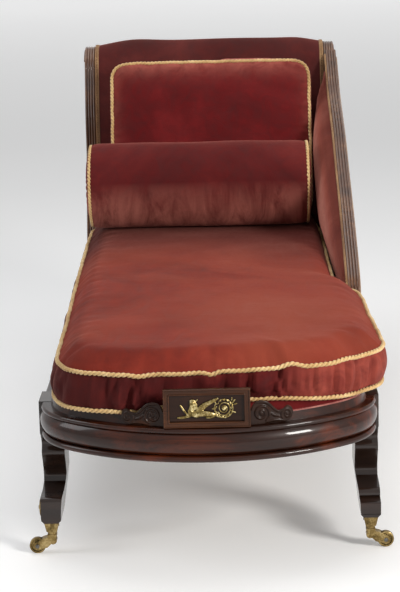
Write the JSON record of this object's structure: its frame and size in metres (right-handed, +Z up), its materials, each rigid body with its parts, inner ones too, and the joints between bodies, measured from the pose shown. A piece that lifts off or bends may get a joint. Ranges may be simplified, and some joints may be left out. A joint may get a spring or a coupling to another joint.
{
  "type": "recamier",
  "caption": "Recamier with a bowed foot rail, scrolled head, half-length right arm, sabre legs on casters, and a loose squab, bolster and pillow.",
  "frame": {"origin": "on the floor under the middle of the whole piece", "axes": "+Y runs along the length from the foot to the head, +X is the side that carries the arm, +Z up"},
  "size_m": [0.717, 1.843, 0.8627],
  "materials": {
    "mahogany": "french polished, glossy",
    "beech": "raw",
    "brass": "aged lacquered brass",
    "steel": "plain",
    "velvet": "worn crimson velvet",
    "faded_velvet": "velvet faded to brick red",
    "gold_cord": "twisted gold cord and braid",
    "linen": "jute webbing and hessian"
  },
  "bodies": {
    "frame": {"foot_rail": "mahogany", "bow_end_left": "mahogany", "bow_end_right": "mahogany", "side_rail_left": "mahogany", "side_rail_right": "mahogany", "head_rail": "beech", "cross_braces": "beech", "corner_blocks": "beech", "block_screws": "steel", "leg_foot_left": "mahogany", "leg_foot_right": "mahogany", "leg_head_left": "mahogany", "leg_head_right": "mahogany", "toe_paterae": "brass", "tablet_panel": "mahogany", "tablet_frame": "mahogany", "tablet_volute_left": "mahogany", "tablet_volute_right": "mahogany", "sphinx_mount": "brass", "mount_pins": "brass", "head_post_left": "mahogany", "head_post_right": "mahogany", "crest_rail": "beech", "back_slat": "beech", "back_webbing": "linen", "back_pad": "velvet", "outside_back": "velvet", "back_gimp": "gold_cord", "arm_rail": "mahogany", "arm_uprights": "beech", "arm_pad": "velvet", "arm_outside": "velvet", "arm_gimp": "gold_cord", "seat_webbing": "linen", "seat_hessian": "linen", "seat_deck": "velvet", "deck_gimp": "gold_cord", "cap_screws": "brass", "caster_cap_foot_left": "brass", "caster_cap_foot_right": "brass", "caster_cap_head_left": "brass", "caster_cap_head_right": "brass"},
    "horn_foot_left": {"caster_horn_foot_left": "brass", "caster_axle_foot_left": "steel"},
    "wheel_foot_left": {"caster_wheel_foot_left": "brass"},
    "horn_foot_right": {"caster_horn_foot_right": "brass", "caster_axle_foot_right": "steel"},
    "wheel_foot_right": {"caster_wheel_foot_right": "brass"},
    "horn_head_left": {"caster_horn_head_left": "brass", "caster_axle_head_left": "steel"},
    "wheel_head_left": {"caster_wheel_head_left": "brass"},
    "horn_head_right": {"caster_horn_head_right": "brass", "caster_axle_head_right": "steel"},
    "wheel_head_right": {"caster_wheel_head_right": "brass"},
    "squab_loose": {"squab": "faded_velvet", "squab_piping": "gold_cord"},
    "bolster_loose": {"bolster": "velvet", "bolster_piping": "gold_cord"},
    "pillow_loose": {"pillow": "velvet", "pillow_piping": "gold_cord"}
  },
  "joints": [
    {"name": "swivel_foot_left", "type": "hinge", "parent": "frame", "child": "horn_foot_left", "pos_m": [-0.313, -0.744, 0.036], "axis": [0, 0, 1], "continuous": true},
    {"name": "roll_foot_left", "type": "hinge", "parent": "horn_foot_left", "child": "wheel_foot_left", "pos_m": [-0.3425, -0.744, 0.016], "axis": [0, 1, 0], "continuous": true},
    {"name": "swivel_foot_right", "type": "hinge", "parent": "frame", "child": "horn_foot_right", "pos_m": [0.313, -0.744, 0.036], "axis": [0, 0, 1], "continuous": true},
    {"name": "roll_foot_right", "type": "hinge", "parent": "horn_foot_right", "child": "wheel_foot_right", "pos_m": [0.3425, -0.744, 0.016], "axis": [0, 1, 0], "continuous": true},
    {"name": "swivel_head_left", "type": "hinge", "parent": "frame", "child": "horn_head_left", "pos_m": [-0.313, 0.766, 0.036], "axis": [0, 0, 1], "continuous": true},
    {"name": "roll_head_left", "type": "hinge", "parent": "horn_head_left", "child": "wheel_head_left", "pos_m": [-0.3425, 0.766, 0.016], "axis": [0, 1, 0], "continuous": true},
    {"name": "swivel_head_right", "type": "hinge", "parent": "frame", "child": "horn_head_right", "pos_m": [0.313, 0.766, 0.036], "axis": [0, 0, 1], "continuous": true},
    {"name": "roll_head_right", "type": "hinge", "parent": "horn_head_right", "child": "wheel_head_right", "pos_m": [0.3425, 0.766, 0.016], "axis": [0, 1, 0], "continuous": true},
    {"name": "squab_lift", "type": "slide", "parent": "frame", "child": "squab_loose", "axis": [-0.33, 0, 0.944], "range_m": [0, 0.25]},
    {"name": "bolster_lift", "type": "slide", "parent": "squab_loose", "child": "bolster_loose", "axis": [0, -0.6, 0.8], "range_m": [0, 0.2]},
    {"name": "pillow_lift", "type": "slide", "parent": "squab_loose", "child": "pillow_loose", "axis": [0, 0.2672, 0.9636], "range_m": [0, 0.2]}
  ]
}
